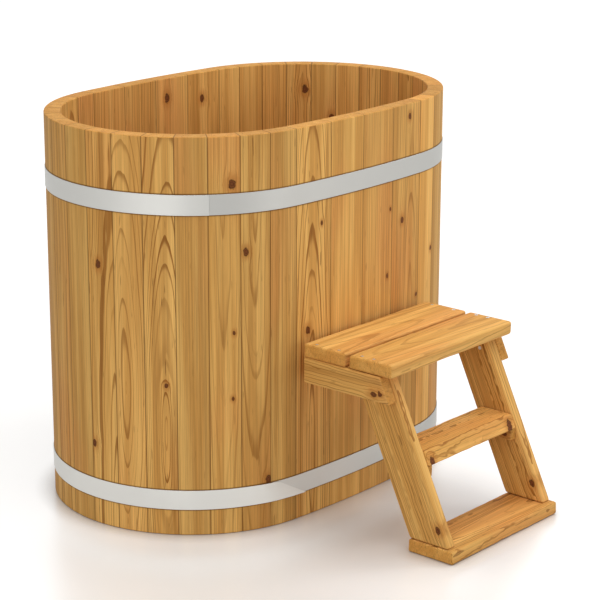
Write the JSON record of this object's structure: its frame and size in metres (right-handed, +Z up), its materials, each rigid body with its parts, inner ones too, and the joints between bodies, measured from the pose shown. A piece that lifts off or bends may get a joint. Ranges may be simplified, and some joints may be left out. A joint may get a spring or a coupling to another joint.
{
  "type": "wooden hot tub",
  "caption": "Oval wooden hot tub of upright staves bound by flat steel hoops, with a floor drain and wooden steps on one long side.",
  "frame": {"origin": "on the ground, under the middle of the box that holds the tub and its steps", "axes": "+Z up, the oval's long axis along X, the steps on the -Y side, so whoever climbs in faces +Y"},
  "size_m": [1.1723, 1.2285, 1],
  "materials": {
    "larch_staves": "oiled larch with straight and flame grain",
    "larch_floor": "oiled larch",
    "larch_steps": "oiled larch",
    "hoop_steel": "satin stainless strip",
    "drain_steel": "satin stainless",
    "screw_steel": "bright stainless"
  },
  "bodies": {
    "tub_and_steps": {"stave_01": "larch_staves", "stave_02": "larch_staves", "stave_03": "larch_staves", "stave_04": "larch_staves", "stave_05": "larch_staves", "stave_06": "larch_staves", "stave_07": "larch_staves", "stave_08": "larch_staves", "stave_09": "larch_staves", "stave_10": "larch_staves", "stave_11": "larch_staves", "stave_12": "larch_staves", "stave_13": "larch_staves", "stave_14": "larch_staves", "stave_15": "larch_staves", "stave_16": "larch_staves", "stave_17": "larch_staves", "stave_18": "larch_staves", "stave_19": "larch_staves", "stave_20": "larch_staves", "stave_21": "larch_staves", "stave_22": "larch_staves", "stave_23": "larch_staves", "stave_24": "larch_staves", "stave_25": "larch_staves", "stave_26": "larch_staves", "stave_27": "larch_staves", "stave_28": "larch_staves", "stave_29": "larch_staves", "stave_30": "larch_staves", "stave_31": "larch_staves", "stave_32": "larch_staves", "stave_33": "larch_staves", "stave_34": "larch_staves", "stave_35": "larch_staves", "stave_36": "larch_staves", "hoop_lower": "hoop_steel", "hoop_upper": "hoop_steel", "floor_board_1": "larch_floor", "floor_board_2": "larch_floor", "floor_board_3": "larch_floor", "floor_board_4": "larch_floor", "floor_board_5": "larch_floor", "floor_batten_left": "larch_floor", "floor_batten_right": "larch_floor", "drain_body": "drain_steel", "drain_nut": "drain_steel", "platform_board_rear": "larch_steps", "platform_board_front": "larch_steps", "platform_cleat_left": "larch_steps", "platform_cleat_right": "larch_steps", "platform_rail": "larch_steps", "leg_left": "larch_steps", "leg_right": "larch_steps", "tread": "larch_steps", "tread_block_left": "larch_steps", "tread_block_right": "larch_steps", "base_board": "larch_steps", "wood_screws": "screw_steel"},
    "plug": {"drain_plug": "drain_steel"}
  },
  "joints": [
    {"name": "drain_plug_lift", "type": "slide", "parent": "tub_and_steps", "child": "plug", "axis": [0, 0, 1], "range_m": [0, 0.03]}
  ]
}
